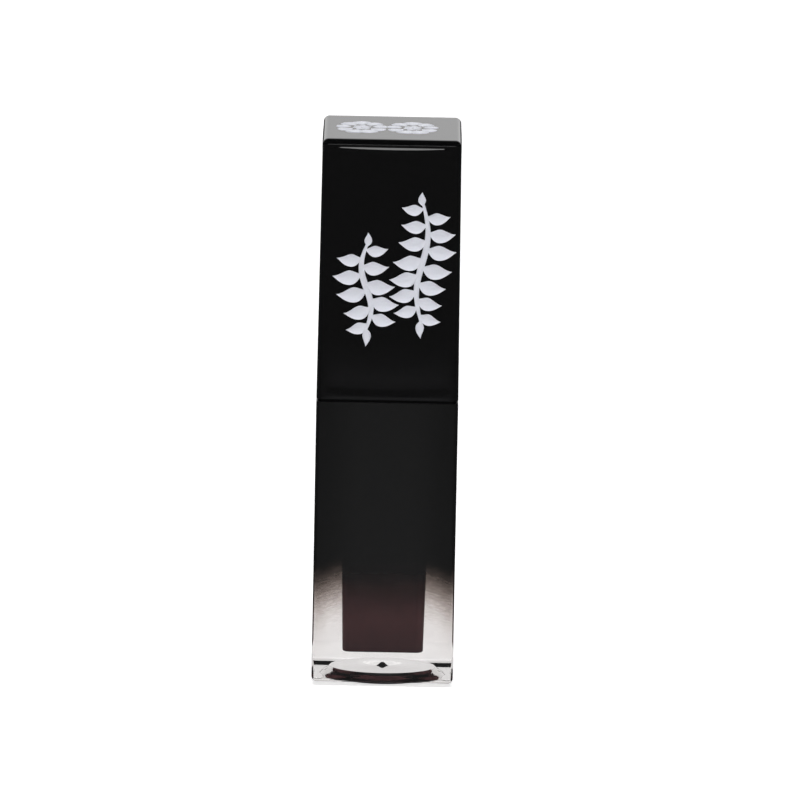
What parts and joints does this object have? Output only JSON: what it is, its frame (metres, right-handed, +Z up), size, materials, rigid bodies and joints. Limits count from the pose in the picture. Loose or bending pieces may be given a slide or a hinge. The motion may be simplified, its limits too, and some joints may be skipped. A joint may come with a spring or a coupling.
{
  "type": "liquid lipstick case",
  "caption": "Square liquid-lipstick case: thick clear bottle with a black-to-clear lacquer fade, glossy square screw cap, and an applicator wand inside.",
  "frame": {"origin": "centre of the square base, on the surface that it stands on", "axes": "+Z up along the long axis from base to cap, front face towards -Y, +X to the right of the front"},
  "size_m": [0.019, 0.019, 0.0742],
  "materials": {
    "clear_plastic": "clear gloss under a black lacquer that fades out near the foot",
    "neck_plastic": "natural translucent",
    "lipstick": "thick dark burgundy liquid",
    "soft_plastic": "natural, soft",
    "black_satin": "satin",
    "foam": "matt",
    "black_gloss": "high gloss lacquer",
    "black_inner": "satin",
    "steel": "zinc plated, tumbled",
    "rod_plastic": "gloss",
    "tip_elastomer": "matt",
    "flock": "short nylon flock, stained by the product"
  },
  "bodies": {
    "bottle": {"bottle": "clear_plastic", "neck": "neck_plastic", "lipstick_fill": "lipstick", "wiper": "soft_plastic", "collar": "black_satin"},
    "gasket": {"gasket": "foam"},
    "cap": {"cap_shell": "black_gloss", "inner_cap": "black_inner", "cap_weight": "steel", "wand_rod": "rod_plastic", "tip_core": "tip_elastomer", "tip_flock": "flock"}
  },
  "joints": [
    {"name": "cap_rise", "type": "slide", "parent": "bottle", "child": "gasket", "axis": [0, 0, 1], "range_m": [0, 0.0502]},
    {"name": "cap_turn", "type": "hinge", "parent": "gasket", "child": "cap", "pos_m": [0, 0, 0.0515], "axis": [0, 0, 1], "range_deg": [0, 2250]}
  ],
  "couplings": [
    {"joint": "cap_rise", "follows": "cap_turn", "m_per_rad": 0.0012732}
  ]
}
